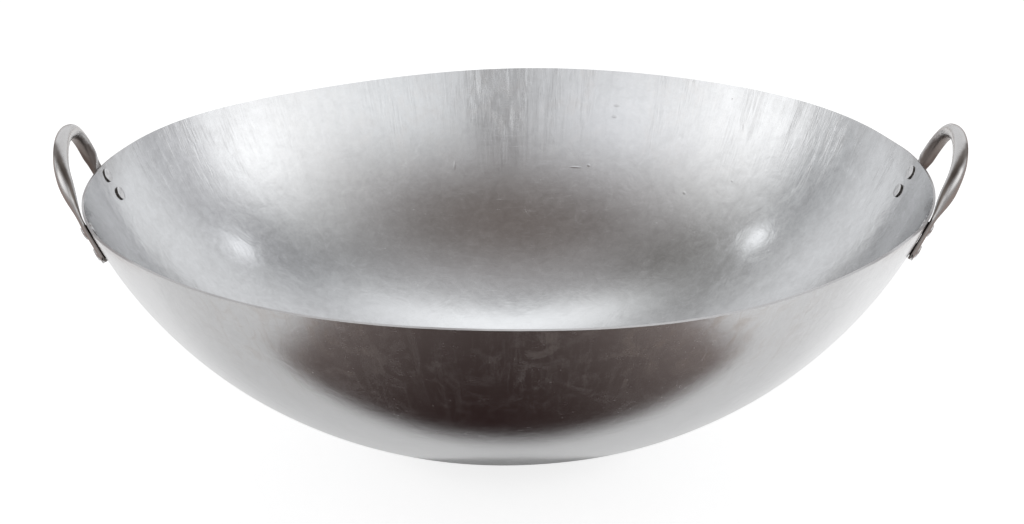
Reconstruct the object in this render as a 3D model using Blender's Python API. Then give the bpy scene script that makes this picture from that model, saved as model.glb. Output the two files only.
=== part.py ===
"""A two-handled steel wok: a thin pressed bowl with a loop of flattened tube riveted on at each side.

Metres, +Z up. The origin is at the middle of the flat under the bowl, and the handles lie along X.
Each handle is worked out in its own frame: x away from the bowl's axis, y along the rim, z up.
"""

import bmesh
import bpy
from math import acos, asin, atan2, cos, hypot, pi, radians, sin, sqrt
from mathutils import Matrix, Vector

# Bowl
RIM_RADIUS = 0.250
BOWL_DEPTH = 0.148
BASE_RADIUS = 0.020
SHEET = 0.0015
BOWL_STEPS = 96
WALL_RINGS = 12

# Handle tube, round on the grip and pressed flat at its ends
TUBE_RADIUS = 0.0045
TUBE_WALL = 0.0012
END_SLIT = 0.0005
FLAT_LENGTH = 0.0278
SWELL_LENGTH = 0.013
END_CORNER = 0.0040
TUBE_SIDES = 16

# Handle loop, with heights measured along its side view from the rim, where each leg has a slight knee
GRIP_HEIGHT = 0.0344
GRIP_END_SLOPE = radians(17.2)
BEND_RADIUS = 0.0255
LEG_LEAN = radians(8.9)
KNEE_DROP = 0.006
KNEE_LENGTH = 0.008

# Handle places, which differ a little because each was riveted on by hand
HANDLE_SLOPES = {"left": radians(67.6), "right": radians(60.7)}
HANDLE_TURNS = {"left": radians(180.5), "right": radians(-1.1)}
HANDLE_LIFTS = {"left": 0.0010, "right": -0.0009}

# Rivets
SHANK_RADIUS = 0.0024
HEAD_RADIUS = 0.0042
HEAD_HEIGHT = 0.0014
HEAD_BAND = 0.0005
OUTER_CROWN = 0.85
INNER_CROWN = 0.40
LOWER_RIVET_REACH = 0.0542
LOWER_RIVET_DROP = 0.0229
RIVET_PITCH = 0.0141
END_MARGIN = 0.0061
RIVET_STEPS = 16
LEGS = {"front": -1, "back": 1}

# Gap kept between pieces that touch
CLEARANCE = 0.0003

# Worked out from the sizes above
WALL_ARC = ((RIM_RADIUS - BASE_RADIUS) ** 2 + BOWL_DEPTH**2) / (2 * BOWL_DEPTH)
RIM_SLOPE = asin((RIM_RADIUS - BASE_RADIUS) / WALL_ARC)
FACET_DEPTH = RIM_RADIUS * (1 - cos(pi / BOWL_STEPS))
FLAT_HALF = TUBE_WALL + END_SLIT / 2


def clear_scene():
    """Removes what the file already holds."""
    for obj in list(bpy.data.objects):
        bpy.data.objects.remove(obj, do_unlink=True)


def steel(name, colour, roughness):
    """A bare metal finish."""
    material = bpy.data.materials.new(name)
    material.use_nodes = True
    shader = material.node_tree.nodes["Principled BSDF"]
    shader.inputs["Base Color"].default_value = (*colour, 1.0)
    shader.inputs["Metallic"].default_value = 1.0
    shader.inputs["Roughness"].default_value = roughness
    return material


def add_object(name, mesh, material=None):
    """Puts a mesh in the scene, shaded smooth up to its sharp edges."""
    obj = bpy.data.objects.new(name, mesh)
    bpy.context.scene.collection.objects.link(obj)
    mesh.shade_smooth()
    mesh.set_sharp_from_angle(angle=radians(35))
    if material:
        mesh.materials.append(material)
    return obj


def turn_profile(name, profile, steps, material):
    """Turns a line of (radius, height) points about Z. The line runs down the shape's outer side."""
    mesh = bpy.data.meshes.new(name)
    edges = [(i, i + 1) for i in range(len(profile) - 1)]
    mesh.from_pydata([(r, 0.0, z) for r, z in profile], edges, [])
    obj = add_object(name, mesh, material)
    screw = obj.modifiers.new("Turn", "SCREW")
    screw.steps = steps
    screw.render_steps = steps
    screw.use_merge_vertices = True
    screw.merge_threshold = 0.00001
    screw.use_smooth_shade = True
    return obj


def wall_point(turn, depth):
    """A point of the bowl's wall: turn is the slope there, depth the distance in from its outer face."""
    radius = WALL_ARC - depth
    return BASE_RADIUS + radius * sin(turn), WALL_ARC - radius * cos(turn)


def wall_depth(point):
    """How far a point lies inside the bowl's outer face."""
    radius = hypot(point.x, point.y)
    return WALL_ARC - hypot(radius - BASE_RADIUS, WALL_ARC - point.z)


def wall_radius(height):
    """Radius of the bowl's outer face at a height."""
    return BASE_RADIUS + sqrt(max(WALL_ARC**2 - (WALL_ARC - height) ** 2, 0.0))


def wall_slope(height):
    """Slope of the bowl's outer face at a height."""
    return asin((wall_radius(height) - BASE_RADIUS) / WALL_ARC)


def make_bowl(material):
    """The pressed bowl, one thickness of sheet all over, with its edge cut level."""
    turns = [RIM_SLOPE * i / WALL_RINGS for i in range(WALL_RINGS + 1)]
    outer = [wall_point(turn, 0.0) for turn in turns]
    inner = [wall_point(turn, SHEET) for turn in turns[:-1]]
    inner.append((outer[-1][0] - SHEET / sin(RIM_SLOPE), BOWL_DEPTH))
    profile = [(0.0, SHEET)] + inner + outer[::-1] + [(0.0, 0.0)]
    return turn_profile("bowl", profile, BOWL_STEPS, material)


def loop_plan():
    """Straight leg length and grip radius that carry the loop from its lower rivets to its top."""
    lean_sin, lean_cos = sin(LEG_LEAN), cos(LEG_LEAN)
    end_sin, end_cos = sin(GRIP_END_SLOPE), cos(GRIP_END_SLOPE)
    across = LOWER_RIVET_REACH + BEND_RADIUS * (end_sin - lean_cos)
    up = GRIP_HEIGHT + LOWER_RIVET_DROP - BEND_RADIUS * (end_cos - lean_sin)
    det = lean_sin * (1 - end_cos) - end_sin * lean_cos
    leg = (across * (1 - end_cos) - end_sin * up) / det
    grip_radius = (lean_sin * up - lean_cos * across) / det
    return leg, grip_radius


LEG_LENGTH, GRIP_RADIUS = loop_plan()
LEG_END = END_MARGIN + LEG_LENGTH
BEND_END = LEG_END + BEND_RADIUS * (pi / 2 - GRIP_END_SLOPE - LEG_LEAN)
HALF_LENGTH = BEND_END + GRIP_RADIUS * GRIP_END_SLOPE


def half_loop(distance):
    """Place and heading in the loop's plane, a distance along the tube from the end of its back leg."""
    across = LOWER_RIVET_REACH + END_MARGIN * sin(LEG_LEAN)
    up = -LOWER_RIVET_DROP - END_MARGIN * cos(LEG_LEAN)
    heading = LEG_LEAN
    run = min(distance, LEG_END)
    across -= run * sin(heading)
    up += run * cos(heading)
    for start, end, radius in ((LEG_END, BEND_END, BEND_RADIUS), (BEND_END, HALF_LENGTH, GRIP_RADIUS)):
        swept = (min(max(distance, start), end) - start) / radius
        across += radius * (cos(heading + swept) - cos(heading))
        up += radius * (sin(heading + swept) - sin(heading))
        heading += swept
    return across, up, heading


def flatness(distance):
    """1 where the tube is pressed flat, 0 where it is round."""
    t = min(max((distance - FLAT_LENGTH) / SWELL_LENGTH, 0.0), 1.0)
    return 1 - t * t * (3 - 2 * t)


class Handle:
    """The shape of one handle, in its own frame. Below its knees the legs lie along the wall."""

    def __init__(self, slope, lift):
        self.lift = lift
        self.slope = slope
        self.leg_slope = slope
        for _ in range(4):
            self.leg_slope = self.wall_line()
        self.seat = 0.0
        self.twist = 0.0
        self.twist = self.flat_twist()
        self.seat = self.seat_radius()

    def wall_line(self):
        """Slope in the side view at which a leg lies along the wall, midway between its rivets."""
        across, up, heading = half_loop(END_MARGIN + RIVET_PITCH / 2)
        height = BOWL_DEPTH + (up + self.lift) * sin(self.leg_slope)
        azimuth = asin(across / wall_radius(height))
        steep = wall_slope(height)
        level = cos(heading) * sin(steep) * cos(azimuth)
        plumb = cos(heading) * cos(steep)
        round_wall = sin(heading) * sin(steep) * sin(azimuth)
        return acos(round_wall / hypot(level, plumb)) - atan2(plumb, level)

    def side_view(self, up):
        """Offset and slope in the handle's side view, a length along it from where it passes the rim."""
        bend = self.slope - self.leg_slope
        below = min(up, -KNEE_DROP)
        run = min(max(up + KNEE_DROP, 0.0), KNEE_LENGTH)
        above = max(up + KNEE_DROP - KNEE_LENGTH, 0.0)
        share = run / KNEE_LENGTH
        stretches = (
            (below, self.leg_slope),
            (run, self.leg_slope + bend * share / 2),
            (above, self.slope),
        )
        x = sum(length * cos(slope) for length, slope in stretches)
        z = sum(length * sin(slope) for length, slope in stretches)
        return x, z, self.leg_slope + bend * share

    def spot(self, distance):
        """Centre, tangent, width direction and thickness direction of the tube at a distance."""
        side = 1 if distance <= HALF_LENGTH else -1
        along = distance if side > 0 else 2 * HALF_LENGTH - distance
        across, up, heading = half_loop(along)
        x, z, slope = self.side_view(up + self.lift)
        centre = Vector((self.seat + x, side * across, BOWL_DEPTH + z))
        rise = Vector((cos(slope), 0, sin(slope)))
        tangent = Vector((0, -sin(heading), 0)) + side * cos(heading) * rise
        tangent.normalize()
        out = Vector((sin(slope), 0, -cos(slope)))
        thick = Matrix.Rotation(flatness(along) * self.twist, 3, tangent) @ out
        return centre, tangent, thick.cross(tangent), thick

    def flat_twist(self):
        """Turn of the flats about their own length that lays them along the round wall."""
        middle = END_MARGIN + RIVET_PITCH / 2
        centre, tangent, wide, thick = self.spot(middle)
        azimuth = asin(centre.y / wall_radius(centre.z))
        slope = wall_slope(centre.z)
        normal = Vector((sin(slope) * cos(azimuth), sin(slope) * sin(azimuth), -cos(slope)))
        normal -= normal.dot(tangent) * tangent
        angle = thick.angle(normal)
        return angle if thick.cross(normal).dot(tangent) > 0 else -angle

    def seat_radius(self):
        """Distance from the bowl's axis at which the flats just clear the wall."""
        needed = []
        steps = 24
        for i in range(steps + 1):
            distance = (FLAT_LENGTH + SWELL_LENGTH) * i / steps
            half, straight = tube_size(distance)
            centre, tangent, wide, thick = self.spot(distance)
            for share in (-1.0, -0.5, 0.0, 0.5, 1.0):
                point = centre + share * (straight / 2) * wide - half * thick
                if point.z > BOWL_DEPTH + CLEARANCE:
                    continue
                height = min(point.z, BOWL_DEPTH)
                radius = wall_radius(height) + CLEARANCE / sin(wall_slope(height))
                needed.append(sqrt(radius**2 - point.y**2) - point.x)
        return max(needed)

    def rivet(self, leg, distance):
        """Turned place of a rivet, its half grip on the flat, and its reach to the wall's inner face."""
        along = distance if leg > 0 else 2 * HALF_LENGTH - distance
        centre, tangent, wide, thick = self.spot(along)
        ring = [cos(2 * pi * i / 8) * wide + sin(2 * pi * i / 8) * tangent for i in range(8)]
        low, high = 0.0, 0.05
        for _ in range(40):
            reach = (low + high) / 2
            seats = [centre - reach * thick + HEAD_RADIUS * spoke for spoke in ring]
            clear = min(wall_depth(point) for point in seats) >= SHEET + FACET_DEPTH + CLEARANCE
            low, high = (low, reach) if clear else (reach, high)
        turn = Matrix((wide.cross(thick), wide, thick)).transposed().to_4x4()
        return Matrix.Translation(centre) @ turn, high


def tube_size(distance):
    """Half thickness of the tube and the length of its flats, its girth being the same all along."""
    flat = flatness(min(distance, 2 * HALF_LENGTH - distance))
    half = TUBE_RADIUS + (FLAT_HALF - TUBE_RADIUS) * flat
    return half, pi * (TUBE_RADIUS - half)


def section(radius, straight):
    """Points (width, thickness) round a circle that is drawn apart by a straight stretch."""
    points = []
    half_sides = TUBE_SIDES // 2
    reach = radius / cos(pi / TUBE_SIDES)
    for side in (1, -1):
        for i in range(half_sides):
            angle = -pi / 2 + (i + 0.5) * pi / half_sides
            points.append((side * (straight / 2 + reach * cos(angle)), side * reach * sin(angle)))
    return points


def corner_drop(width, half_width):
    """How far the rounded end of a flat falls back, at a place across its width."""
    corner = min(END_CORNER, half_width)
    past = min(max(abs(width) - (half_width - corner), 0.0), corner)
    return corner - sqrt(corner**2 - past**2)


def tube_ring(handle, distance, depth):
    """One ring of the tube's outer face, or of its bore at a depth inside it."""
    half, straight = tube_size(distance)
    near_end = min(distance, 2 * HALF_LENGTH - distance)
    fade = max(1 - near_end / (2 * END_CORNER), 0.0)
    half_width = straight / 2 + half
    ring = []
    for width, thickness in section(half - depth, straight):
        shift = fade * corner_drop(width, half_width)
        along = distance + shift if distance < HALF_LENGTH else distance - shift
        centre, tangent, wide, thick = handle.spot(along)
        ring.append(centre + width * wide + thickness * thick)
    return ring


def tube_stations():
    """Distances along the whole tube at which it has a ring, from one end to the other."""
    stretches = [
        (0.0, 2 * END_CORNER, 4),
        (2 * END_CORNER, FLAT_LENGTH, 2),
        (FLAT_LENGTH, FLAT_LENGTH + SWELL_LENGTH, 6),
        (FLAT_LENGTH + SWELL_LENGTH, BEND_END, 6),
        (BEND_END, HALF_LENGTH, 4),
    ]
    half = []
    for start, end, count in stretches:
        half += [start + (end - start) * i / count for i in range(count)]
    return half + [HALF_LENGTH] + [2 * HALF_LENGTH - d for d in reversed(half)]


def add_skin(bm, rings):
    """Joins rings of points into a sleeve and returns its two end rings."""
    rows = [[bm.verts.new(point) for point in ring] for ring in rings]
    for low, high in zip(rows, rows[1:]):
        join_rings(bm, low, high)
    return rows[0], rows[-1]


def join_rings(bm, low, high):
    """A band of faces between two rings."""
    count = len(low)
    for i in range(count):
        j = (i + 1) % count
        bm.faces.new((low[i], low[j], high[j], high[i]))


def make_handle(name, handle, turn, material):
    """One length of tube, bent to a loop and open at the narrow slit of each pressed end."""
    bm = bmesh.new()
    distances = tube_stations()
    outer = add_skin(bm, [tube_ring(handle, d, 0.0) for d in distances])
    bore = add_skin(bm, [tube_ring(handle, d, TUBE_WALL) for d in distances[::2]])
    for outer_end, bore_end in zip(outer, bore):
        join_rings(bm, outer_end, bore_end)
    bmesh.ops.recalc_face_normals(bm, faces=bm.faces)
    mesh = bpy.data.meshes.new(name)
    bm.to_mesh(mesh)
    bm.free()
    obj = add_object(name, mesh, material)
    obj.rotation_euler.z = turn
    return obj


def head_profile(crown):
    """Half outline of a rivet head from its crown to its seat, its height measured up from the seat."""
    points = [(0.0, HEAD_HEIGHT)]
    steps = 4
    for i in range(1, steps + 1):
        angle = pi / 2 * i / steps
        rise = cos(angle) ** crown if i < steps else 0.0
        points.append((HEAD_RADIUS * sin(angle) ** crown, HEAD_BAND + (HEAD_HEIGHT - HEAD_BAND) * rise))
    return points + [(HEAD_RADIUS, 0.0)]


def make_rivet(name, place, reach, material):
    """A solid rivet: low crown outside on the flat, shank through flat and wall, flat head inside."""
    seat = FLAT_HALF + CLEARANCE
    outer = [(r, seat + z) for r, z in head_profile(OUTER_CROWN)]
    inner = [(r, -reach - z) for r, z in head_profile(INNER_CROWN)]
    profile = outer + [(SHANK_RADIUS, seat), (SHANK_RADIUS, -reach)] + inner[::-1]
    obj = turn_profile(name, profile, RIVET_STEPS, material)
    obj.matrix_world = place
    return obj


def make_drill(places):
    """The drill that opens every rivet hole, as one set of rods. It isn't a piece of the wok."""
    bm = bmesh.new()
    for place, reach in places:
        bmesh.ops.create_cone(
            bm,
            cap_ends=True,
            segments=RIVET_STEPS,
            radius1=SHANK_RADIUS + CLEARANCE,
            radius2=SHANK_RADIUS + CLEARANCE,
            depth=2 * (reach + HEAD_HEIGHT),
            matrix=place,
        )
    mesh = bpy.data.meshes.new("rivet_drill")
    bm.to_mesh(mesh)
    bm.free()
    drill = add_object("rivet_drill", mesh)
    drill.hide_render = True
    drill.display_type = "WIRE"
    return drill


def drill_through(obj, drill):
    """Opens the rivet holes in a piece."""
    cut = obj.modifiers.new("Rivet holes", "BOOLEAN")
    cut.operation = "DIFFERENCE"
    cut.solver = "EXACT"
    cut.object = drill


def build():
    """Makes every piece and seats it."""
    clear_scene()
    drilled = [make_bowl(steel("bowl_steel", (0.60, 0.60, 0.61), 0.28))]
    places = []
    for side, slope in HANDLE_SLOPES.items():
        handle = Handle(slope, HANDLE_LIFTS[side])
        turn = HANDLE_TURNS[side]
        facing = 1 if cos(turn) > 0 else -1
        finish = steel(f"handle_{side}_steel", (0.55, 0.54, 0.53), 0.20)
        drilled.append(make_handle(f"handle_{side}", handle, turn, finish))
        for leg, sign in LEGS.items():
            for row, distance in (("lower", END_MARGIN), ("upper", END_MARGIN + RIVET_PITCH)):
                place, reach = handle.rivet(sign * facing, distance)
                place = Matrix.Rotation(turn, 4, "Z") @ place
                name = f"rivet_{side}_{leg}_{row}"
                make_rivet(name, place, reach, steel(f"{name}_steel", (0.58, 0.57, 0.56), 0.32))
                places.append((place, reach))
    drill = make_drill(places)
    for obj in drilled:
        drill_through(obj, drill)


build()
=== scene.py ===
"""A two-handled steel wok on a white studio floor, dressed over its packed construction model."""

from math import asin, atan2, cos, degrees, exp, hypot, pi, radians, sin, sqrt

import bpy
from mathutils import Matrix, Vector, noise


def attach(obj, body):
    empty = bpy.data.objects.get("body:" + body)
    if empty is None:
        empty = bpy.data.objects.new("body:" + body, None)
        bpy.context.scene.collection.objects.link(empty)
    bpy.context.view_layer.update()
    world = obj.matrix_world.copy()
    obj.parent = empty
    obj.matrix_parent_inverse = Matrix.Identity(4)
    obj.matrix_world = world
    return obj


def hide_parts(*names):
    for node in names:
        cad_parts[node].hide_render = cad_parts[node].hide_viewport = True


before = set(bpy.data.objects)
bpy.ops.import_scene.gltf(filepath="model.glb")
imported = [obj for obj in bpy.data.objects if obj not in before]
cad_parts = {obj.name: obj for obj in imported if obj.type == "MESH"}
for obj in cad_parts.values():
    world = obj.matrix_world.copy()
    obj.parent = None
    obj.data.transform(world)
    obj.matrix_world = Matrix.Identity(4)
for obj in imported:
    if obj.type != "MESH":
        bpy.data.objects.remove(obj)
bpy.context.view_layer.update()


# Bowl
# One disc of steel sheet, pressed and spun to a deep round bowl, with its edge cut bare. The wall
# keeps the puckers and streaks of the pressing, a thin brown film on its outside, the scratches
# of its polishing, and a few small dents at the back.

RIM_RADIUS = 0.250
BOWL_DEPTH = 0.148
BASE_RADIUS = 0.020
SHEET = 0.0015
WALL_ARC = ((RIM_RADIUS - BASE_RADIUS) ** 2 + BOWL_DEPTH**2) / (2 * BOWL_DEPTH)
RIM_SLOPE = asin((RIM_RADIUS - BASE_RADIUS) / WALL_ARC)
BOWL_STEPS = 384
BOWL_RINGS = 80


def next_ring(rise, growth):
    """Extrudes the selected ring or face along Z and scales it about the axis."""
    bpy.ops.mesh.extrude_region_move(TRANSFORM_OT_translate={"value": (0, 0, rise)})
    bpy.ops.transform.resize(value=(growth, growth, 1))


bpy.ops.object.select_all(action="DESELECT")
bpy.ops.mesh.primitive_circle_add(vertices=BOWL_STEPS, radius=BASE_RADIUS, fill_type="TRIFAN")
bowl = bpy.context.object
bowl.name = "bowl_sheet"
bpy.ops.object.mode_set(mode="EDIT")
bpy.ops.mesh.region_to_loop()
ring_radius, ring_height = BASE_RADIUS, 0.0
for ring in range(1, BOWL_RINGS + 1):
    turn = RIM_SLOPE * ring / BOWL_RINGS
    radius = BASE_RADIUS + WALL_ARC * sin(turn)
    height = WALL_ARC * (1 - cos(turn))
    next_ring(height - ring_height, radius / ring_radius)
    ring_radius, ring_height = radius, height
bpy.ops.mesh.select_all(action="SELECT")
bpy.ops.mesh.normals_make_consistent(inside=False)
bpy.ops.object.mode_set(mode="OBJECT")

# Waves round the rim: how many, and the heights of the cosine and the sine
RIM_WAVES = {
    2: (-0.00038, 0.00090),
    3: (-0.00011, -0.00043),
    4: (-0.00049, -0.00078),
    5: (-0.00006, -0.00018),
    6: (-0.00090, -0.00008),
}
WAVE_FADE = 2
PUCKER_DEPTH = 0.00010
PUCKER_COUNT = 70
PUCKER_DRIFT = 3
PUCKER_FADE = 6
SWELL_DEPTH = 0.00016
SWELL_SIZE = 0.055
HANDLE_QUIET = 0.27
HANDLE_EASE = 1.6


def smooth(value, low, high):
    """0 up to low, 1 from high, smooth between them."""
    share = min(max((value - low) / (high - low), 0.0), 1.0)
    return share * share * (3 - 2 * share)


for vertex in bowl.data.vertices:
    x, y, z = vertex.co
    radius = hypot(x, y)
    if radius <= BASE_RADIUS:
        continue
    azimuth = atan2(y, x)
    high = z / BOWL_DEPTH
    wave = sum(a * cos(k * azimuth) + b * sin(k * azimuth) for k, (a, b) in RIM_WAVES.items())
    ring_place = (PUCKER_COUNT * x / radius, PUCKER_COUNT * y / radius, PUCKER_DRIFT * high)
    pucker = PUCKER_DEPTH * noise.noise(Vector(ring_place) / pi) * high**PUCKER_FADE
    swell = SWELL_DEPTH * noise.noise(vertex.co / SWELL_SIZE)
    # The wall stays true where the handles sit against it.
    uneven = smooth(abs(sin(azimuth)) / sin(HANDLE_QUIET), 1.0, HANDLE_EASE)
    push = uneven * (pucker + swell)
    slope = asin(min((radius - BASE_RADIUS) / WALL_ARC, 1.0))
    outward = Vector((x / radius * sin(slope), y / radius * sin(slope), -cos(slope)))
    vertex.co += push * outward + Vector((0, 0, uneven * wave * high**WAVE_FADE))


class Shade:
    """A socket in a material's tree. Arithmetic on its value adds Math nodes behind it."""

    def __init__(self, socket):
        self.socket = socket

    @staticmethod
    def node(tree, kind, settings, inputs, output=0):
        """Adds a node with its settings and its inputs' values or links, and gives one output."""
        made = tree.nodes.new(kind)
        for name, value in settings.items():
            setattr(made, name, value)
        for name, value in inputs.items():
            if isinstance(value, Shade):
                tree.links.new(value.socket, made.inputs[name])
            else:
                made.inputs[name].default_value = value
        return Shade(made.outputs[output])

    def output(self, name):
        """Another output of the node that this one comes from."""
        return Shade(self.socket.node.outputs[name])

    def feed(self, node, name):
        """Links the value to an input of another node."""
        self.socket.id_data.links.new(self.socket, node.inputs[name])

    def math(self, operation, first, second=0.0):
        """A Math node's result."""
        settings = {"operation": operation}
        return Shade.node(self.socket.id_data, "ShaderNodeMath", settings, {0: first, 1: second})

    def __add__(self, other):
        return self.math("ADD", self, other)

    def __radd__(self, other):
        return self.math("ADD", other, self)

    def __sub__(self, other):
        return self.math("SUBTRACT", self, other)

    def __rsub__(self, other):
        return self.math("SUBTRACT", other, self)

    def __mul__(self, other):
        return self.math("MULTIPLY", self, other)

    def __rmul__(self, other):
        return self.math("MULTIPLY", other, self)

    def __truediv__(self, other):
        return self.math("DIVIDE", self, other)

    def __rtruediv__(self, other):
        return self.math("DIVIDE", other, self)

    def __pow__(self, other):
        return self.math("POWER", self, other)

    def absolute(self):
        return self.math("ABSOLUTE", self)

    def at_least(self, other):
        return self.math("MAXIMUM", self, other)

    def at_most(self, other):
        return self.math("MINIMUM", self, other)

    def between(self, low, high):
        """0 below low, 1 above high, smooth between them. It falls where high is the lower one."""
        settings = {"interpolation_type": "SMOOTHSTEP", "clamp": True}
        inputs = {0: self, "From Min": low, "From Max": high}
        return Shade.node(self.socket.id_data, "ShaderNodeMapRange", settings, inputs)


def vector_math(tree, operation, inputs, output=0):
    """A Vector Math node's result: a vector, or its number where the output is 1."""
    return Shade.node(tree, "ShaderNodeVectorMath", {"operation": operation}, inputs, output)


def new_steel(name):
    """A bare metal material: its tree, its shader and the place on the object."""
    material = bpy.data.materials.new(name)
    material.use_nodes = True
    tree = material.node_tree
    shader = tree.nodes["Principled BSDF"]
    shader.inputs["Metallic"].default_value = 1.0
    place = Shade.node(tree, "ShaderNodeTexCoord", {}, {}, "Object")
    return material, tree, shader, place


def scaled(tree, place, scale, turn=(0, 0, 0)):
    """The place on the object, turned and stretched for a texture."""
    inputs = {"Vector": place, "Rotation": turn, "Scale": scale}
    return Shade.node(tree, "ShaderNodeMapping", {"vector_type": "POINT"}, inputs)


def grain(tree, place, scale, detail=2.0, roughness=0.5, distortion=0.0):
    """Fractal noise from about 0.2 to 0.8."""
    inputs = {"Vector": place, "Scale": scale, "Detail": detail}
    inputs |= {"Roughness": roughness, "Distortion": distortion}
    return Shade.node(tree, "ShaderNodeTexNoise", {}, inputs, "Fac")


def streaks(tree, place, stretch, turn, detail, roughness=0.5, distortion=0.0):
    """Fractal noise stretched along one direction."""
    return grain(tree, scaled(tree, place, stretch, turn), 1.0, detail, roughness, distortion)


def cells(tree, place, scale):
    """The distance to the nearest of many scattered points, in cells."""
    inputs = {"Vector": place, "Scale": scale}
    return Shade.node(tree, "ShaderNodeTexVoronoi", {"feature": "F1"}, inputs, "Distance")


def scratches(tree, place, turn, length, width, share):
    """Fine straight scratches in one direction. The share is how much of the face they mark."""
    lines = streaks(tree, place, (1 / length, 1 / width, 1 / width), turn, 1.0)
    return lines.between(0.72 - share, 0.74 - share / 2)


def loops(tree, place, scale, ring, width):
    """Fine circular scratches left by polishing: broken rings of one size, one in each cell."""
    line = (cells(tree, place, scale) - ring).absolute().between(width, 0.2 * width)
    return line * grain(tree, place, 1.3 * scale, 1.0).between(0.53, 0.66)


def specks(tree, place, scale, size, share):
    """Small bright pits, on a share of the cells."""
    near = cells(tree, place, scale)
    chance = Shade.node(tree, "ShaderNodeSeparateColor", {}, {0: near.output("Color")})
    return near.between(size, 0.4 * size) * chance.between(1 - share, 1 - 0.9 * share)


def mix_colour(tree, share, low, high):
    """A colour between two colours."""
    settings = {"data_type": "RGBA", "blend_type": "MIX"}
    return Shade.node(tree, "ShaderNodeMix", settings, {0: share, 6: low, 7: high}, 2)


def raised(tree, height):
    """The normal of a surface that stands up by a height in metres."""
    inputs = {"Strength": 1.0, "Distance": 1.0, "Height": height}
    return Shade.node(tree, "ShaderNodeBump", {}, inputs)


SHEET_FINISHES = {
    "outside": {
        "roughness": 0.19,
        "wobble": 0.00018,
        "marked": 0.6,
        "stained": 0.5,
        "hazy": 0.085,
    },
    "inside": {
        "roughness": 0.15,
        "wobble": 0.00014,
        "marked": 1.6,
        "stained": 0.85,
        "hazy": 0.02,
    },
}
SHEET_DARK = (0.57, 0.57, 0.573, 1)
SHEET_LIGHT = (0.754, 0.760, 0.767, 1)
FILM_BROWN = (0.50, 0.43, 0.38, 1)
# Grain: scale, detail, roughness and distortion
CLOUDS = (24.0, 4.0, 0.6, 0.8)
STAINS = (52.0, 6.0, 0.62, 1.6)
SWIRL = (60.0, 3.0, 0.5, 1.2)
MOTTLE = (210.0, 5.0, 0.72, 0.5)
# Streaks down the wall: stretch, turn, detail, roughness and distortion
BANDS = ((46, 46, 9), (0, 0, 0), 2.0, 0.6, 0.0)
DRAW_MARKS = ((80, 80, 70), (0.05, 0.03, 0.7), 3.0, 0.6, 1.0)
DRAW_LINES = ((190, 190, 62), (0.04, -0.03, 0.4), 2.0, 0.6, 0.9)
DRAW_PATCHES = ((6, 6, 8), (0, 0, 0), 2.0, 0.5, 0.0)
DRAW_BREAKS = ((26, 26, 34), (0.3, 0.2, 0.9), 2.0, 0.5, 1.0)
# Where the wall differs, in shares of its depth and of its radius
UNDER_EDGE = (0.55, 0.95)
FILM_RISE = (0.42, 0.88)
OFF_HANDLES = (0.16, 0.45)
AT_BACK = (-0.10, 0.10)
AT_MIDDLE = (0.17, 0.0)
SOILED_BACK = (0.5, 0.9)
# A soiled streak down the back, in metres from its middle
SOILED_PLACE = -0.006
SOILED_WIDTH = (0.022, 0.002)
# Polishing rings: scale, ring radius and line width in cells. Pits: scale, size and share
POLISH_RINGS = ((19.0, 0.36, 0.014), (31.0, 0.30, 0.020))
PITS = (120.0, 0.09, 0.06)
SCRATCH_TURNS = ((0, 0, 0.5), (0.1, 0.2, 1.6), (0.1, 0.2, 2.7))
SCRATCH_LENGTH = 0.030
SCRATCH_WIDTH = 0.0007
SCRATCH_SHARE = 0.02
SCRATCH_DEPTH = 0.0000025
MOTTLE_DEPTH = 0.000010
DRAW_MARK_DEPTH = 0.000110
DRAW_LINE_DEPTH = 0.000040
DENT_DEPTH = 0.000110
DENT_REACH = 0.006
# Dents: the place, and half the width and height
DENTS = [
    ((0.0685, 0.2309, 0.1299), (0.0030, 0.0011)),
    ((0.0670, 0.2276, 0.1236), (0.0028, 0.0012)),
    ((0.0500, 0.2124, 0.0959), (0.0015, 0.0011)),
    ((0.0419, 0.2131, 0.0946), (0.0055, 0.0007)),
    ((0.1100, 0.1802, 0.0873), (0.0015, 0.0012)),
    ((0.1409, 0.2031, 0.1420), (0.0008, 0.0010)),
    ((0.1472, 0.1887, 0.1272), (0.0008, 0.0035)),
    ((0.1396, 0.1701, 0.0983), (0.0010, 0.0009)),
    ((-0.0357, 0.2148, 0.0953), (0.0008, 0.0030)),
]


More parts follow.
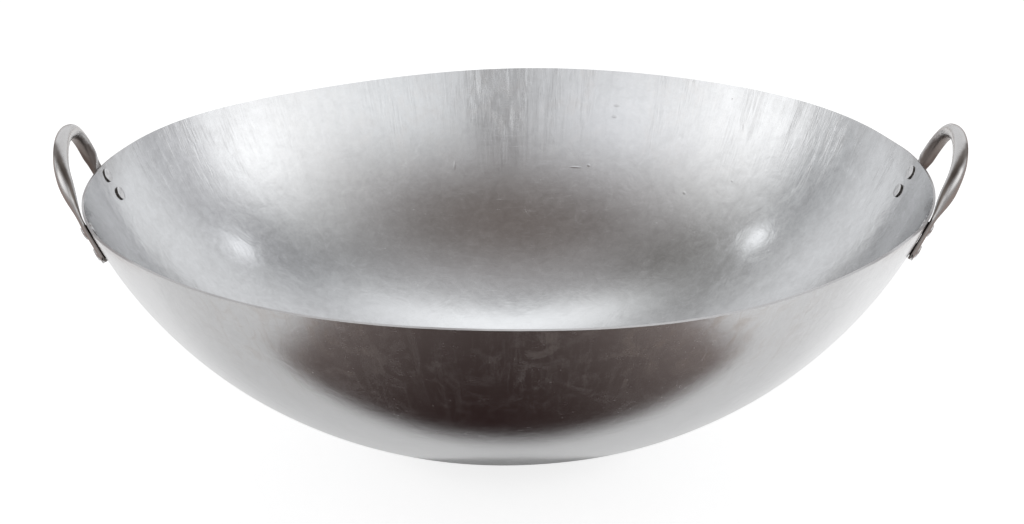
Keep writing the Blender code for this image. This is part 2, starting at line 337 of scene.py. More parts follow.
def pressed_steel(name, roughness, wobble, marked, stained, hazy):
    """The sheet's finish on one side: clouds, draw marks under the edge, film and scratches."""
    material, tree, shader, place = new_steel(name)

    # Where on the bowl: round it, up it, and the parts of it that differ
    x = Shade.node(tree, "ShaderNodeSeparateXYZ", {}, {0: place})
    y, z = x.output("Y"), x.output("Z")
    radius = (x * x + y * y) ** 0.5
    rightward, backward, high = x / radius, y / radius, z / BOWL_DEPTH
    around = Shade.node(tree, "ShaderNodeCombineXYZ", {}, {0: rightward, 1: backward, 2: z})
    sideways = rightward.absolute()
    under_edge = marked * high.between(*UNDER_EDGE)
    off_handles = backward.absolute().between(*OFF_HANDLES)
    at_back = backward.between(*AT_BACK)
    at_middle = at_back * sideways.between(*AT_MIDDLE)
    soiled = (x - SOILED_PLACE).absolute().between(*SOILED_WIDTH)
    soiled = soiled * backward.between(*SOILED_BACK)

    # The rolled sheet: clouds, stains, slow swirls and a fine mottle
    clouds = grain(tree, place, *CLOUDS)
    stains = grain(tree, place, *STAINS)
    swirl = grain(tree, place, *SWIRL)
    mottle = grain(tree, place, *MOTTLE)
    worn = stained * (1 + 0.5 * sideways.between(0.45, 0.75))

    # Draw marks: broken streaks down from the edge, in patches, strongest at the back
    bands = streaks(tree, around, *BANDS)
    draw_marks = streaks(tree, around, *DRAW_MARKS)
    draw_lines = streaks(tree, around, *DRAW_LINES)
    patches = streaks(tree, around, *DRAW_PATCHES).between(0.32, 0.62)
    unbroken = streaks(tree, around, *DRAW_BREAKS).between(0.40, 0.62)
    strength = 0.42 + 2.1 * at_middle + 0.45 * at_back * sideways.between(0.55, 0.80)
    strength = strength + 0.35 * at_back * rightward.between(0.08, 0.30)
    drawn = under_edge * off_handles * strength * patches * (0.35 + 1.3 * unbroken)

    # Polishing and use: rings, pits, scratches and dents
    rings = sum(loops(tree, place, *ring) for ring in POLISH_RINGS)
    pits = specks(tree, place, *PITS)
    scuffs = sum(
        scratches(tree, place, turn, SCRATCH_LENGTH, SCRATCH_WIDTH, SCRATCH_SHARE)
        for turn in SCRATCH_TURNS
    )
    dents = 0.0
    for spot, (half_width, half_height) in DENTS:
        away = vector_math(tree, "SUBTRACT", {0: place, 1: spot})
        away = vector_math(tree, "DIVIDE", {0: away, 1: (half_width, DENT_REACH, half_height)})
        dents = dents + vector_math(tree, "LENGTH", {0: away}, 1).between(1.0, 0.1)

    # The brown film lies in streaks and stains on the upper wall, and not towards the handles
    streaky = 0.30 * draw_lines + 0.35 * bands + 0.35 * draw_marks
    film = 0.8 * streaky.between(0.48, 0.61) + 1.4 * stains.between(0.46, 0.66)
    film = hazy * film * (0.3 + 0.7 * patches) * high.between(*FILM_RISE)
    brown = 4.0 * film * sideways.between(0.80, 0.45)

    tone = 0.5 + 0.34 * (clouds - 0.5) + worn * (mottle - 0.5) + 0.9 * worn * (stains - 0.5)
    tone = tone + 1.3 * drawn * (draw_lines - 0.52)
    tone = tone + under_edge * (0.3 + 3.4 * at_middle) * (bands - 0.5)
    tone = tone - 0.45 * under_edge * soiled * (0.2 + 1.6 * draw_marks)
    # Painted light: the upper back wall is lighter beside the handles.
    tone = tone + 0.2 * under_edge * at_back * (1 - off_handles)
    # The dents are also painted darker: painted shade in them, over their real relief.
    tone = tone + 0.10 * rings + 0.35 * pits + 0.14 * scuffs - dents
    colour = mix_colour(tree, tone, SHEET_DARK, SHEET_LIGHT)
    mix_colour(tree, brown, colour, FILM_BROWN).feed(shader, "Base Color")

    rough = roughness + 0.10 * (clouds - 0.5) + 0.14 * (mottle - 0.5)
    rough = rough + 0.04 * rings + 0.06 * scuffs + 0.04 * drawn + 0.08 * stained * (stains - 0.5)
    rough.feed(shader, "Roughness")
    (1.0 - film - 0.2 * hazy * scuffs).feed(shader, "Metallic")

    relief = (
        DRAW_MARK_DEPTH * drawn * (draw_marks - 0.5)
        + DRAW_LINE_DEPTH * drawn * (draw_lines - 0.5)
        + wobble * (0.55 + 0.45 * sideways.between(0.4, 0.8)) * (swirl - 0.5)
        + MOTTLE_DEPTH * (mottle - 0.5)
        - SCRATCH_DEPTH * scuffs
        - DENT_DEPTH * dents
    )
    raised(tree, relief).feed(shader, "Normal")
    return material


for side, finish in SHEET_FINISHES.items():
    bowl.data.materials.append(pressed_steel(f"pressed_steel_{side}", **finish))

EDGE_DARK = (0.30, 0.28, 0.28, 1)
EDGE_LIGHT = (0.54, 0.52, 0.52, 1)
EDGE_BRIGHT = (0.66, 0.65, 0.65, 1)
NICKS = (420.0, 3.0, 0.6)
BRIGHT_STRETCHES = (11.0, 2.0, 0.6)
NICK_DEPTH = 0.00005

cut_edge, tree, shader, place = new_steel("cut_edge_steel")
nicks = grain(tree, place, *NICKS)
bright_stretches = grain(tree, place, *BRIGHT_STRETCHES).between(0.38, 0.50)
colour = mix_colour(tree, nicks, EDGE_DARK, EDGE_LIGHT)
mix_colour(tree, bright_stretches, colour, EDGE_BRIGHT).feed(shader, "Base Color")
(0.42 + 0.2 * (nicks - 0.5)).feed(shader, "Roughness")
raised(tree, NICK_DEPTH * nicks).feed(shader, "Normal")
bowl.data.materials.append(cut_edge)

sheet = bowl.modifiers.new("Sheet", "SOLIDIFY")
sheet.thickness = SHEET
sheet.offset = -1
sheet.use_even_offset = True
sheet.material_offset = 1
sheet.material_offset_rim = 2
bpy.ops.object.modifier_apply(modifier="Sheet")


# Loop handles
# Each is one length of steel tube, bent to a loop. Its two ends are pressed flat, rounded at the
# corners and laid along the outside of the wall, where a knee at the rim leans the loop outward.

TUBE_RADIUS = 0.0045
TUBE_WALL = 0.0012
END_SLIT = 0.0005
FLAT_HALF = TUBE_WALL + END_SLIT / 2
END_CORNER = 0.0040
GRIP_RADIUS = 0.10658
GRIP_END_SLOPE = radians(17.2)
BEND_RADIUS = 0.0255
LEG_LEAN = radians(8.9)
KNEE_DROP = 0.006
KNEE_LENGTH = 0.008
LOWER_RIVET_REACH = 0.0542
LOWER_RIVET_DROP = 0.0229
END_MARGIN = 0.0061
LEG_ABOVE_RIVET = 0.03251
LEG_END = END_MARGIN + LEG_ABOVE_RIVET
BEND_END = LEG_END + BEND_RADIUS * (pi / 2 - GRIP_END_SLOPE - LEG_LEAN)
HALF_LENGTH = BEND_END + GRIP_RADIUS * GRIP_END_SLOPE
FLAT_TWIST = radians(11.26)
HANDLES = {
    "left": {
        "turn": 180.5,
        "slope": 67.6,
        "leg_slope": 59.9,
        "lift": 0.0010,
        "seat": 0.24732,
        "first_leg": {"flat": 0.0270, "swell": 0.026},
        "last_leg": {"flat": 0.0262, "swell": 0.012},
    },
    "right": {
        "turn": -1.1,
        "slope": 60.7,
        "leg_slope": 59.5,
        "lift": -0.0009,
        "seat": 0.24753,
        "first_leg": {"flat": 0.0245, "swell": 0.009},
        "last_leg": {"flat": 0.0245, "swell": 0.021},
    },
}


def pressed_flat(leg, distance):
    """1 where the tube is pressed flat, 0 where it is round."""
    return 1 - smooth(distance, leg["flat"], leg["flat"] + leg["swell"])


def loop_place(distance):
    """Place across and up the loop, and heading, at a distance from the end of its back leg."""
    across = LOWER_RIVET_REACH + END_MARGIN * sin(LEG_LEAN)
    up = -LOWER_RIVET_DROP - END_MARGIN * cos(LEG_LEAN)
    heading = LEG_LEAN
    run = min(distance, LEG_END)
    across -= run * sin(heading)
    up += run * cos(heading)
    bends = ((LEG_END, BEND_END, BEND_RADIUS), (BEND_END, HALF_LENGTH, GRIP_RADIUS))
    for start, end, radius in bends:
        swept = (min(max(distance, start), end) - start) / radius
        across += radius * (cos(heading + swept) - cos(heading))
        up += radius * (sin(heading + swept) - sin(heading))
        heading += swept
    return across, up, heading


def tube_frame(handle, distance):
    """Centre, tangent, width direction and thickness direction of the bent tube at a distance."""
    side = 1 if distance <= HALF_LENGTH else -1
    leg = handle["first_leg"] if side > 0 else handle["last_leg"]
    along = distance if side > 0 else 2 * HALF_LENGTH - distance
    across, up, heading = loop_place(along)
    up += handle["lift"]
    leg_slope, slope = radians(handle["leg_slope"]), radians(handle["slope"])
    run = min(max(up + KNEE_DROP, 0.0), KNEE_LENGTH)
    bend = (slope - leg_slope) * run / KNEE_LENGTH
    stretches = (
        (min(up, -KNEE_DROP), leg_slope),
        (run, leg_slope + bend / 2),
        (max(up + KNEE_DROP - KNEE_LENGTH, 0.0), slope),
    )
    x = handle["seat"] + sum(length * cos(angle) for length, angle in stretches)
    z = BOWL_DEPTH + sum(length * sin(angle) for length, angle in stretches)
    here = leg_slope + bend
    rise = Vector((cos(here), 0, sin(here)))
    tangent = (Vector((0, -sin(heading), 0)) + side * cos(heading) * rise).normalized()
    out = Vector((sin(here), 0, -cos(here)))
    thick = Matrix.Rotation(pressed_flat(leg, along) * FLAT_TWIST, 3, tangent) @ out
    return Vector((x, side * across, z)), tangent, thick.cross(tangent), thick


# A painted dark reflection along the outside of each leg, running on as painted shade over the
# edge of its pressed end: the distance from the tube's end, and the angle round the tube and the
# half width, both in degrees
PAINTED_REFLECTION_LINE = [
    (-0.010, 246, 34),
    (0.022, 246, 34),
    (0.032, 234, 30),
    (0.040, 230, 24),
    (0.050, 224, 26),
    (0.060, 204, 30),
    (0.068, 182, 36),
    (0.078, 152, 38),
    (0.094, 130, 30),
]
PAINTED_REFLECTION_FADE = 0.010


def painted_reflection_at(near_end, angle):
    """1 on the painted dark reflection along the outside of a leg, less beside it."""
    fade = min(near_end - PAINTED_REFLECTION_LINE[0][0], PAINTED_REFLECTION_LINE[-1][0] - near_end) / PAINTED_REFLECTION_FADE
    if fade <= 0:
        return 0.0
    for low, high in zip(PAINTED_REFLECTION_LINE, PAINTED_REFLECTION_LINE[1:]):
        if low[0] <= near_end <= high[0]:
            share = (near_end - low[0]) / (high[0] - low[0])
            away = angle - low[1] - share * (high[1] - low[1])
            away = (away + 180) % 360 - 180
            width = low[2] + share * (high[2] - low[2])
            return min(fade, 1.0) * exp(-((away / width) ** 2))


def bend_tube(tube, handle):
    """Presses the ends of a straight tube on Z flat and bends it to its loop."""
    turn = Matrix.Rotation(radians(handle["turn"]), 3, "Z")
    # Painted reflection: a dark line along each leg, kept as a point attribute.
    painted_reflection = tube.data.attributes.new("painted_reflection", "FLOAT", "POINT")
    for vertex in tube.data.vertices:
        x, y, distance = vertex.co
        leg = handle["first_leg"] if distance <= HALF_LENGTH else handle["last_leg"]
        near_end = min(distance, 2 * HALF_LENGTH - distance)
        painted_reflection.data[vertex.index].value = painted_reflection_at(near_end, degrees(atan2(y, x)))
        # The round section turns into two half rounds with a straight between them. Its
        # middle third is stretched to that straight, so the way round it stays as long.
        half = TUBE_RADIUS + (FLAT_HALF - TUBE_RADIUS) * pressed_flat(leg, near_end)
        straight = pi * (TUBE_RADIUS - half)
        shell = half / TUBE_RADIUS
        width = x * shell + (straight / 2) * max(-1.0, min(1.0, 3 * x / TUBE_RADIUS))
        # The corners of the flat end are rounded by drawing them back along the tube.
        corner_start = straight / 2 + half - END_CORNER
        past = min(max(abs(width) - corner_start, 0.0), END_CORNER)
        drop = END_CORNER - sqrt(END_CORNER**2 - past**2)
        drop *= max(1 - near_end / (2 * END_CORNER), 0.0)
        along = distance + drop if distance < HALF_LENGTH else distance - drop
        centre, tangent, wide, thick = tube_frame(handle, along)
        vertex.co = turn @ (centre + width * wide + y * shell * thick)


TUBE_STEPS = 48
TUBE_RINGS = 180

bpy.ops.object.select_all(action="DESELECT")
bpy.ops.mesh.primitive_circle_add(vertices=TUBE_STEPS, radius=TUBE_RADIUS, fill_type="NOTHING")
straight_tube = bpy.context.object
bpy.ops.object.mode_set(mode="EDIT")
for _ in range(TUBE_RINGS):
    step = (0, 0, 2 * HALF_LENGTH / TUBE_RINGS)
    bpy.ops.mesh.extrude_region_move(TRANSFORM_OT_translate={"value": step})
bpy.ops.mesh.select_all(action="SELECT")
bpy.ops.mesh.normals_make_consistent(inside=False)
bpy.ops.object.mode_set(mode="OBJECT")

TUBE_DARK = (0.52, 0.50, 0.49, 1)
TUBE_LIGHT = (0.72, 0.71, 0.70, 1)
TUBE_INNER_DARK = (0.22, 0.19, 0.175, 1)
TUBE_REFLECTION_DARK = (0.14, 0.12, 0.107, 1)
TUBE_CLOUDS = (60.0, 3.0, 0.6, 0.4)
TUBE_STREAKS = (260.0, 3.0, 0.6, 0.5)
TUBE_FINE = (700.0, 3.0, 0.6)
TUBE_CLOUD_DEPTH = 0.00003
TUBE_FINE_DEPTH = 0.00001
LOOP_MIDDLE = (0, 0, 0.158)

handle_steel, tree, shader, place = new_steel("handle_tube_steel")
clouds = grain(tree, place, *TUBE_CLOUDS)
broken = grain(tree, place, *TUBE_STREAKS) - 0.5
fine = grain(tree, place, *TUBE_FINE)
outward = Shade.node(tree, "ShaderNodeTexCoord", {}, {}, "Normal")
to_middle = vector_math(tree, "SUBTRACT", {0: LOOP_MIDDLE, 1: place})
to_middle = vector_math(tree, "MULTIPLY", {0: to_middle, 1: (0, 1, 1)})
to_middle = vector_math(tree, "NORMALIZE", {0: to_middle})
inner_side = vector_math(tree, "DOT_PRODUCT", {0: to_middle, 1: outward}, 1)
# Darker and rougher on the side that faces the middle of the loop.
inner_dark = (inner_side + 0.9 * broken).between(0.10, 0.75)
# Painted reflection: the dark line along the legs, from the tube's attribute.
painted_reflection = Shade.node(tree, "ShaderNodeAttribute", {"attribute_name": "painted_reflection"}, {}, "Fac")
painted_reflection = (painted_reflection + 0.4 * broken).between(0.05, 0.95)
tone = 0.5 + 0.6 * (clouds - 0.5) + 0.4 * (fine - 0.5)
colour = mix_colour(tree, tone, TUBE_DARK, TUBE_LIGHT)
colour = mix_colour(tree, inner_dark, colour, TUBE_INNER_DARK)
mix_colour(tree, painted_reflection, colour, TUBE_REFLECTION_DARK).feed(shader, "Base Color")
rough = 0.24 + 0.12 * (clouds - 0.5) + 0.08 * (fine - 0.5) + 0.16 * inner_dark + 0.12 * painted_reflection
rough.feed(shader, "Roughness")
raised(tree, TUBE_CLOUD_DEPTH * clouds + TUBE_FINE_DEPTH * fine).feed(shader, "Normal")


def copied(pattern, name):
    """A copy of an object with its own mesh."""
    piece = pattern.copy()
    piece.data = pattern.data.copy()
    piece.name = name
    bpy.context.collection.objects.link(piece)
    return piece


def select_only(piece):
    """Selects one object and makes it the active one."""
    bpy.ops.object.select_all(action="DESELECT")
    piece.select_set(True)
    bpy.context.view_layer.objects.active = piece


handle_tubes = {}
for side, handle in HANDLES.items():
    tube = copied(straight_tube, f"loop_tube_{side}")
    bend_tube(tube, handle)
    select_only(tube)
    wall = tube.modifiers.new("Wall", "SOLIDIFY")
    wall.thickness = TUBE_WALL
    wall.offset = -1
    wall.use_even_offset = True
    bpy.ops.object.modifier_apply(modifier="Wall")
    bpy.ops.object.shade_smooth_by_angle(angle=radians(40))
    tube.data.materials.append(handle_steel)
    handle_tubes[side] = tube
bpy.data.objects.remove(straight_tube)


# Rivets
# Eight solid steel rivets hold the handles, two through each pressed end. Each has a low round
# head on the handle and a flatter one inside the bowl, both a little uneven from the hammer. On
# the back legs the edge of the inner head is painted dark: painted shade and a painted dark
# reflection.

SHANK_RADIUS = 0.0024
CLEARANCE = 0.0003
RIVET_PITCH = 0.0141
HEAD_GAP = 0.00002
OUTER_HEAD = {
    "seat": FLAT_HALF + HEAD_GAP,
    "radius": 0.0040,
    "height": 0.0012,
    "band": 0.0003,
    "crown": 0.75,
}
INNER_HEAD = {
    "seat": -0.00344,
    "radius": 0.0042,
    "height": 0.0010,
    "band": 0.0006,
    "crown": 0.35,
}
SHANK_LENGTH = OUTER_HEAD["seat"] - INNER_HEAD["seat"]
HEAD_STEPS = 10
HEAD_TOP = 0.4

bpy.ops.object.select_all(action="DESELECT")
bpy.ops.mesh.primitive_cylinder_add(
    vertices=48,
    radius=SHANK_RADIUS,
    depth=SHANK_LENGTH,
    location=(0, 0, OUTER_HEAD["seat"] - SHANK_LENGTH / 2),
)
rivet_pattern = bpy.context.object
bpy.ops.object.transform_apply(location=True, rotation=False, scale=False)
bpy.ops.object.mode_set(mode="EDIT")
bpy.ops.mesh.select_mode(type="FACE")
for direction, head in ((1, OUTER_HEAD), (-1, INNER_HEAD)):
    bpy.ops.object.mode_set(mode="OBJECT")
    for face in rivet_pattern.data.polygons:
        face.select = abs(face.center.z - head["seat"]) < 1e-6 and len(face.vertices) > 4
    bpy.ops.object.mode_set(mode="EDIT")
    outline = [(head["radius"], 0.0)]
    for step in range(HEAD_STEPS):
        angle = pi / 2 * (1 - step / HEAD_STEPS)
        rise = cos(angle) ** head["crown"] if step else 0.0
        height = head["band"] + (head["height"] - head["band"]) * rise
        outline.append((head["radius"] * sin(angle) ** head["crown"], height))
    ring_radius, ring_height = SHANK_RADIUS, 0.0
    for radius, height in outline:
        next_ring(direction * (height - ring_height), radius / ring_radius)
        ring_radius, ring_height = radius, height
    next_ring(direction * (head["height"] - ring_height), HEAD_TOP)
    bpy.ops.mesh.poke()
bpy.ops.mesh.select_all(action="SELECT")
bpy.ops.mesh.normals_make_consistent(inside=False)
bpy.ops.object.mode_set(mode="OBJECT")

RIVET_SHADE_DARK = (0.05, 0.045, 0.04, 1)
RIVET_SHADE_LIGHT = (0.16, 0.145, 0.135, 1)
RIVET_DARK = (0.58, 0.57, 0.57, 1)
RIVET_LIGHT = (0.76, 0.76, 0.76, 1)
RIVET_SHADE_GRAIN = (900.0, 2.0, 0.6)
HAMMER_MARKS = (500.0, 2.0, 0.5)
RIVET_FINE = (2500.0, 2.0, 0.6)
HAMMER_MARK_DEPTH = 0.00002
RIVET_FINE_DEPTH = 0.000003

# Painted shade: the dark edge of the inner heads on the back legs, as painted shadow and painted
# reflection.
rivet_shade_edge, tree, shader, place = new_steel("rivet_painted_shade_steel")
shade_grain = grain(tree, place, *RIVET_SHADE_GRAIN)
mix_colour(tree, shade_grain, RIVET_SHADE_DARK, RIVET_SHADE_LIGHT).feed(shader, "Base Color")
(0.36 + 0.2 * (shade_grain - 0.5)).feed(shader, "Roughness")

rivet_steel, tree, shader, place = new_steel("rivet_steel")
hammer_marks = grain(tree, place, *HAMMER_MARKS)
fine = grain(tree, place, *RIVET_FINE)
mix_colour(tree, hammer_marks, RIVET_DARK, RIVET_LIGHT).feed(shader, "Base Color")
(0.19 + 0.1 * (hammer_marks - 0.5)).feed(shader, "Roughness")
raised(tree, HAMMER_MARK_DEPTH * hammer_marks + RIVET_FINE_DEPTH * fine).feed(shader, "Normal")

rivet_pattern.data.materials.append(rivet_steel)
rivet_pattern.data.materials.append(rivet_shade_edge)

rivet_places = []
for side, handle in HANDLES.items():
    turn = Matrix.Rotation(radians(handle["turn"]), 4, "Z")
    for leg, back in (("front", False), ("back", True)):
        on_first_leg = back == (side == "right")
        for row, distance in (("lower", END_MARGIN), ("upper", END_MARGIN + RIVET_PITCH)):
            along = distance if on_first_leg else 2 * HALF_LENGTH - distance
            centre, tangent, wide, thick = tube_frame(handle, along)
            axes = Matrix((wide.cross(thick), wide, thick)).transposed().to_4x4()
            seated = turn @ Matrix.Translation(centre) @ axes
            rivet_places.append((f"{side}_{leg}_{row}", seated))

STRUCK_DEPTH = 0.00012
STRUCK_SCALE = 1.3
STRUCK_STEP = 7.3
EDGE_FLATNESS = 0.6

for number, (name, seated) in enumerate(rivet_places):
    rivet = copied(rivet_pattern, f"set_rivet_{name}")
    for face in rivet.data.polygons:
        # The painted shade goes on the edges of the inner heads of the back legs only.
        shaded_inner_edge = abs(face.normal.z) < EDGE_FLATNESS and face.center.z < 0
        face.material_index = 1 if shaded_inner_edge and "back" in name else 0
    for vertex in rivet.data.vertices:
        spot = vertex.co / OUTER_HEAD["radius"] * STRUCK_SCALE
        struck = noise.noise(spot + Vector((STRUCK_STEP * number, 0, 0)))
        above = max(vertex.co.z - OUTER_HEAD["seat"], INNER_HEAD["seat"] - vertex.co.z)
        if above > OUTER_HEAD["band"] / 2:
            vertex.co.z += STRUCK_DEPTH * struck
    rivet.data.transform(seated)
    select_only(rivet)
    bpy.ops.object.shade_smooth_by_angle(angle=radians(50))
    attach(rivet, "root")
    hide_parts(f"rivet_{name}")
bpy.data.objects.remove(rivet_pattern)

HOLE_RADIUS = SHANK_RADIUS + CLEARANCE
DRILL_LENGTH = 0.014

for drilled in [bowl, *handle_tubes.values()]:
    bpy.ops.object.select_all(action="DESELECT")
    drill = None
    for _, seated in rivet_places:
        bpy.ops.mesh.primitive_cylinder_add(vertices=32, radius=HOLE_RADIUS, depth=DRILL_LENGTH)
        pin = bpy.context.object
        pin.data.transform(seated)
        if drill:
            drill.select_set(True)
            pin.select_set(True)
            bpy.context.view_layer.objects.active = drill
            bpy.ops.object.join()
        else:
            drill = pin
    bpy.context.view_layer.objects.active = drilled
    holes = drilled.modifiers.new("Rivet holes", "BOOLEAN")
    holes.operation = "DIFFERENCE"
    holes.solver = "EXACT"
    holes.object = drill
    bpy.ops.object.modifier_apply(modifier="Rivet holes")
    bpy.data.objects.remove(drill)

select_only(bowl)
bpy.ops.object.shade_smooth_by_angle(angle=radians(35))
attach(bowl, "root")
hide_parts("bowl")
for side, tube in handle_tubes.items():
    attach(tube, "root")
    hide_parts(f"handle_{side}")


# Studio floor
# A matt white floor that runs out of sight. The camera sees it as plain white with the wok's soft
# shadow. The steel mirrors it duller, through a glow that carries painted light and shade: a
# painted shadow darkest under the bowl, painted light to the sides and to the right, and painted
# shade in front.

FLOOR_RADIUS = 5.0
FLOOR_HEIGHT = -0.0004
FLOOR_WHITE = (0.80, 0.80, 0.80, 1)
SEEN_WHITE = (0.45, 0.45, 0.45, 1)
SEEN_GLOW = 0.78
GLOSS_GLOW = 0.54
SIDE_GLOW = 0.12
RIGHT_GLOW = 0.09
FRONT_SHADE = 0.04
FRONT_SIDE_SHADE = 0.13
FOOT_SHADE = 0.62
FOOT_HALF_WIDTH = 0.073
FOOT_HALF_LENGTH = 0.116
FOOT_EDGE = (1.01, 0.94)
SIDE_FROM = (0.06, 0.30)
RIGHT_FROM = (0.0, 0.25)
FRONT_FROM = (0.05, -0.10)
FRONT_SIDE_FROM = (0.05, 0.22)

bpy.ops.object.select_all(action="DESELECT")
bpy.ops.mesh.primitive_circle_add(
    vertices=96, radius=FLOOR_RADIUS, fill_type="NGON", location=(0, 0, FLOOR_HEIGHT)
)
floor = bpy.context.object
floor.name = "studio_floor"
white = bpy.data.materials.new("floor_white")
white.use_nodes = True
tree = white.node_tree
tree.nodes.clear()
to_camera = Shade.node(tree, "ShaderNodeLightPath", {}, {}, "Is Camera Ray")
looked_at = to_camera.at_least(to_camera.output("Is Glossy Ray"))
looked_at = looked_at.at_least(to_camera.output("Is Transmission Ray"))
place = Shade.node(tree, "ShaderNodeTexCoord", {}, {}, "Object")
x = Shade.node(tree, "ShaderNodeSeparateXYZ", {}, {0: place})
foot = {0: place, 1: (1 / FOOT_HALF_WIDTH, 1 / FOOT_HALF_LENGTH, 0)}
foot = vector_math(tree, "LENGTH", {0: vector_math(tree, "MULTIPLY", foot)}, 1)
# Painted shadow under the bowl, and painted light and shade to the sides, the right and the front.
mirrored = GLOSS_GLOW * (1 - FOOT_SHADE * foot.between(*FOOT_EDGE))
mirrored = mirrored + SIDE_GLOW * x.absolute().between(*SIDE_FROM)
mirrored = mirrored + RIGHT_GLOW * x.between(*RIGHT_FROM)
front_shade = FRONT_SHADE + FRONT_SIDE_SHADE * x.absolute().between(*FRONT_SIDE_FROM)
mirrored = mirrored - x.output("Y").between(*FRONT_FROM) * front_shade
strength = SEEN_GLOW * to_camera + mirrored * (1 - to_camera)
glow = Shade.node(tree, "ShaderNodeEmission", {}, {"Color": (1, 1, 1, 1), "Strength": strength})
paint = Shade.node(tree, "ShaderNodeBsdfDiffuse", {}, {"Color": FLOOR_WHITE})
seen_paint = Shade.node(tree, "ShaderNodeBsdfDiffuse", {}, {"Color": SEEN_WHITE})
seen = Shade.node(tree, "ShaderNodeAddShader", {}, {0: seen_paint, 1: glow})
surface = Shade.node(tree, "ShaderNodeMixShader", {}, {0: looked_at, 1: paint, 2: seen})
from_below = Shade.node(tree, "ShaderNodeNewGeometry", {}, {}, "Backfacing")
clear = Shade.node(tree, "ShaderNodeBsdfTransparent", {}, {})
whole = Shade.node(tree, "ShaderNodeMixShader", {}, {0: from_below, 1: surface, 2: clear})
whole.feed(tree.nodes.new("ShaderNodeOutputMaterial"), "Surface")
floor.data.materials.append(white)


# Dark card
# A brown-black card lies on the table in front of the wok. Its glow carries painted shade: it is
# darkest at its near edge under the bowl, and paler at its far end and its sides.
# Past the table's edges the room is grey. Only reflections show the two: they draw the dark field
# across the front of the bowl and the grey that closes it.

CARD_HALF_WIDTH = 0.198
CARD_NEAR_EDGE = -0.150
CARD_SIDE_BLUR = 0.034
CARD_EDGE_BLUR = 0.020
CARD_HEIGHT = 0.002
CARD_REACH = 8
CARD_FADE = 0.30
CARD_LEVEL = 0.008
CARD_FAR_GAIN = 0.105
CARD_SIDE_GAIN = 0.20
CARD_RIGHT_GAIN = 0.030
CARD_BLACK = (0.011, -0.008, -0.016, 1)
CARD_WHITE = (1.12, 0.97, 0.91, 1)
TABLE_FRONT = (-0.34, -0.40)
TABLE_SIDE = (0.335, 0.375)
ROOM_LEVEL = 0.34

bpy.ops.object.select_all(action="DESELECT")
bpy.ops.mesh.primitive_plane_add(size=CARD_REACH, location=(0, 0, CARD_HEIGHT))
card = bpy.context.object
card.name = "studio_card"
bpy.ops.object.transform_apply(location=True, rotation=False, scale=True)
dark = bpy.data.materials.new("card_brown")
dark.use_nodes = True
tree = dark.node_tree
tree.nodes.clear()
place = Shade.node(tree, "ShaderNodeTexCoord", {}, {}, "Object")
x = Shade.node(tree, "ShaderNodeSeparateXYZ", {}, {0: place})
y = x.output("Y")
sideways = x.absolute() / CARD_HALF_WIDTH
far = ((CARD_NEAR_EDGE - y) / CARD_FADE).at_most(1.0).at_least(0.0)
side_blur = CARD_SIDE_BLUR / CARD_HALF_WIDTH
on_card = sideways.between(1 + side_blur, 1 - side_blur)
on_card = on_card * y.between(CARD_NEAR_EDGE + CARD_EDGE_BLUR, CARD_NEAR_EDGE - CARD_EDGE_BLUR)
off_table = y.between(*TABLE_FRONT).at_least(x.absolute().between(*TABLE_SIDE))
# Painted shade: the card's glow is darkest at its near edge under the bowl.
level = CARD_LEVEL + CARD_FAR_GAIN * far + CARD_SIDE_GAIN * sideways * sideways
level = level + CARD_RIGHT_GAIN * (x / CARD_HALF_WIDTH)
level = level * (1 - off_table) + ROOM_LEVEL * off_table
tint = mix_colour(tree, level, CARD_BLACK, CARD_WHITE)
paint = Shade.node(tree, "ShaderNodeEmission", {}, {"Color": tint, "Strength": 1.0})
clear = Shade.node(tree, "ShaderNodeBsdfTransparent", {}, {})
cover = on_card.at_least(off_table)
whole = Shade.node(tree, "ShaderNodeMixShader", {}, {0: cover, 1: clear, 2: paint})
whole.feed(tree.nodes.new("ShaderNodeOutputMaterial"), "Surface")
card.data.materials.append(dark)
card.visible_camera = False
card.visible_diffuse = False
card.visible_transmission = False
card.visible_shadow = False


# Light
# A white tent stands round the wok, open low in front to a darker room. It has a broad soft lamp
# at each side, two small lamps at the back, a dark gap overhead with a strip of light behind it,
# and smaller gaps and gleams between them.

TENT_WHITE = (0.796, 0.806, 0.824)
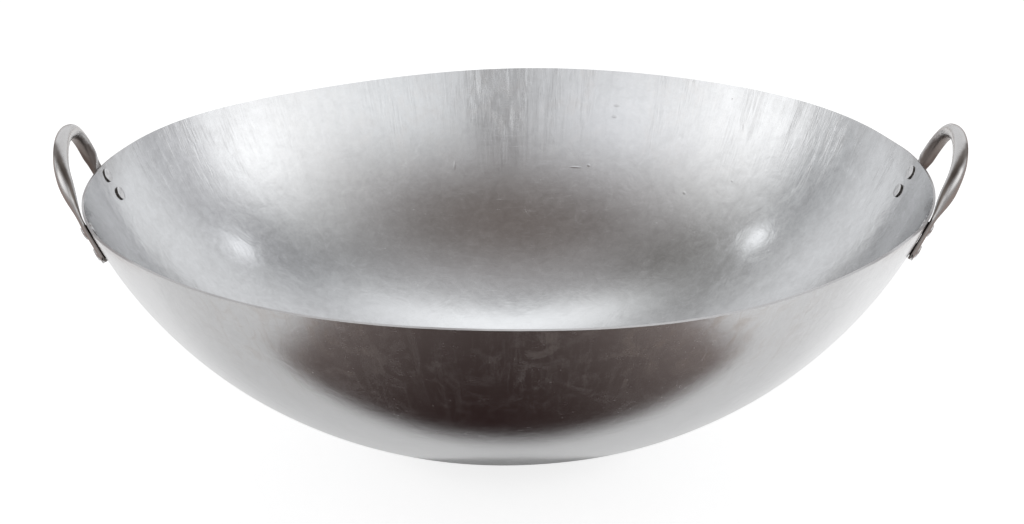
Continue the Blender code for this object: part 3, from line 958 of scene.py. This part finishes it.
# Soft oval patches, as seen from the wok: azimuth from the front, elevation, half width and half
# height, and roll, all in degrees, and the light that each adds or takes away
TENT_LIGHTS = {
    "left_lamp": (-81, 29, (36, 23), 0, (0.81, 0.82, 0.82)),
    "right_lamp": (87, 31, (37, 21), -4, (0.81, 0.82, 0.82)),
    "front_left": (-38, 45, (20, 13), 0, (0.23, 0.24, 0.26)),
    "front_right": (37, 41, (19, 16), 0, (0.29, 0.31, 0.32)),
    "rear_strip": (183, 66, (24, 7), 1, (0.71, 0.73, 0.74)),
    "left_spot": (-116, 40, (2.6, 2.8), 0, (1.45, 1.48, 1.52)),
    "right_spot": (124, 34, (2.6, 2.8), 0, (1.10, 1.12, 1.15)),
    "overhead_gap": (-3, 77, (47, 25), -3, (-0.59, -0.63, -0.66)),
    "left_gap": (-120, 53, (19, 17), 0, (-0.57, -0.58, -0.60)),
    "right_gap": (111, 49, (14, 26), 29, (-0.33, -0.33, -0.34)),
    "left_shade": (-112, 26, (13, 15), -6, (-0.59, -0.59, -0.59)),
    "right_shade": (115, 26, (12, 24), -7, (-0.48, -0.49, -0.48)),
    "front_gap": (1, 40, (6.4, 15.6), 0, (-0.31, -0.32, -0.33)),
    "gap_left_end": (-66, 67.5, (10, 6.5), 0, (-0.06, -0.06, -0.06)),
    "strip_break": (-176, 72, (6, 5), 0, (-0.18, -0.18, -0.18)),
    "strip_end": (-145, 64, (6, 5), 0, (0.10, 0.10, 0.10)),
    "right_low_gap": (127, 49, (8, 8), 0, (-0.11, -0.11, -0.11)),
    "right_lamp_edge": (96, 31, (7, 6), 0, (0.12, 0.12, 0.12)),
    "left_lamp_edge": (-91, 25, (6, 9), 0, (0.10, 0.10, 0.10)),
    "left_shade_low": (-109, 18, (5, 4.5), 0, (-0.08, -0.08, -0.08)),
    "right_shade_low": (119, 14, (5, 4.5), 0, (-0.09, -0.09, -0.09)),
    "right_shade_gleam": (114, 26, (4, 5), 0, (0.07, 0.07, 0.07)),
    "right_gap_low": (108, 41, (8, 6), 0, (-0.06, -0.06, -0.06)),
    "overhead_gleam": (20, 77, (7, 5), 0, (0.03, 0.03, 0.03)),
}
DARKEST = (0.02, 0.02, 0.02)
DOOR_TOP = (0.50, 0.33)
DOOR_CURVE = 0.2
ROOM_DARK = (0.48, 0.46, 0.45, 1)


def soft_patch(tree, direction, azimuth, elevation, size, turn):
    """1 in the middle of a soft oval patch of the tent, falling to 0 round it."""
    standing = Matrix.Rotation(radians(azimuth), 3, "Z")
    standing = standing @ Matrix.Rotation(-radians(elevation), 3, "X")
    axis = standing @ Vector((0, -1, 0))
    rolled = standing @ Matrix.Rotation(-radians(turn), 3, "Y")
    across = rolled @ Vector((1, 0, 0)) / sin(radians(size[0]))
    upward = rolled @ Vector((0, 0, 1)) / sin(radians(size[1]))
    u = vector_math(tree, "DOT_PRODUCT", {0: direction, 1: across}, 1)
    v = vector_math(tree, "DOT_PRODUCT", {0: direction, 1: upward}, 1)
    facing = vector_math(tree, "DOT_PRODUCT", {0: direction, 1: axis}, 1)
    falling = 0.0 - u * u - v * v
    return falling.math("EXPONENT", falling) * facing.math("GREATER_THAN", facing, 0.0)


world = bpy.data.worlds.new("studio_tent")
bpy.context.scene.world = world
world.use_nodes = True
tree = world.node_tree
direction = Shade.node(tree, "ShaderNodeTexCoord", {}, {}, "Generated")
tent = TENT_WHITE
for azimuth, elevation, size, turn, light in TENT_LIGHTS.values():
    patch = soft_patch(tree, direction, azimuth, elevation, size, turn)
    patch = vector_math(tree, "SCALE", {0: light, "Scale": patch})
    tent = vector_math(tree, "ADD", {0: tent, 1: patch})
tent = vector_math(tree, "MAXIMUM", {0: tent, 1: DARKEST})
height = Shade.node(tree, "ShaderNodeSeparateXYZ", {}, {0: direction}).output("Z")
forward = vector_math(tree, "DOT_PRODUCT", {0: direction, 1: (0, -1, 0)}, 1)
doorway = (height + DOOR_CURVE * (1 - forward)).between(*DOOR_TOP)
room = mix_colour(tree, doorway, (1, 1, 1, 1), ROOM_DARK)
vector_math(tree, "MULTIPLY", {0: tent, 1: room}).feed(tree.nodes["Background"], "Color")


# Camera
# The camera stands two and a half metres off and looks down on the rim by nineteen degrees. It is
# turned and rolled by less than a degree, as the one of the photo was.

CAMERA_ELEVATION = radians(18.747)
CAMERA_TURN = radians(0.3625)
CAMERA_ROLL = radians(-0.5886)
CAMERA_DISTANCE = 2.5
AIM = Vector((0.00165, 0.0, 0.10245))

camera_data = bpy.data.cameras.new("studio_camera")
camera_data.lens = 148.6
camera_data.sensor_width = 36.0
camera = bpy.data.objects.new("studio_camera", camera_data)
bpy.context.collection.objects.link(camera)
looking = Matrix.Rotation(CAMERA_TURN, 4, "Z") @ Matrix.Rotation(pi / 2 - CAMERA_ELEVATION, 4, "X")
looking = looking @ Matrix.Rotation(CAMERA_ROLL, 4, "Z")
away = Matrix.Translation((0, 0, CAMERA_DISTANCE))
camera.matrix_world = Matrix.Translation(AIM) @ looking @ away
bpy.context.scene.camera = camera
bpy.context.scene.view_settings.view_transform = "Standard"
